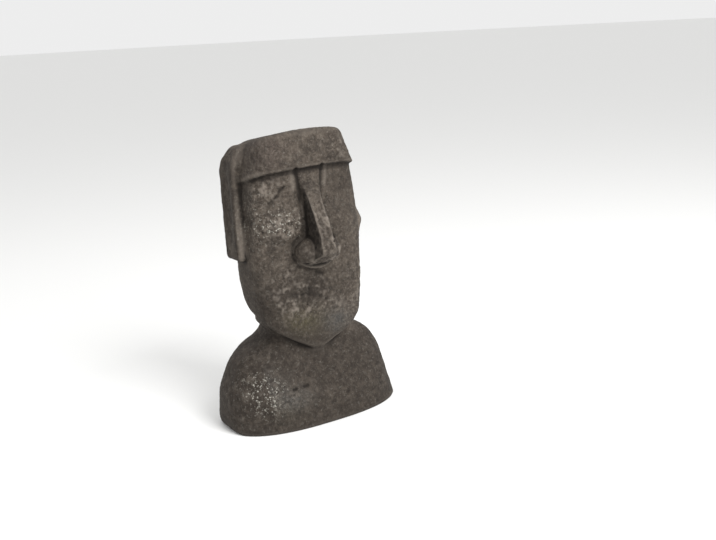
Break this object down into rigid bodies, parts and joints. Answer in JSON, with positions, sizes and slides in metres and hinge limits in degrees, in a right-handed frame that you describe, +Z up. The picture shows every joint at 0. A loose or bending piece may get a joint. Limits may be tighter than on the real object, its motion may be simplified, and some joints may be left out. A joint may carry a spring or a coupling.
{
  "type": "stone moai bust",
  "caption": "Cast stone moai bust: a long head with a heavy brow, jutting nose and hanging ears on a broad low chest with a flat underside.",
  "frame": {"origin": "centre of the bounding box, at the level of the flat underside", "axes": "+Z up, from the underside to the crown; the face looks towards -Y; +X is the statue's own left"},
  "size_m": [0.2634, 0.159, 0.4],
  "materials": {
    "cast_stone": "matte, pitted, dark grey-brown cast lava stone, darker in its grooves, with small pale specks"
  },
  "bodies": {
    "root": {"moai_bust": "cast_stone"}
  },
  "joints": []
}
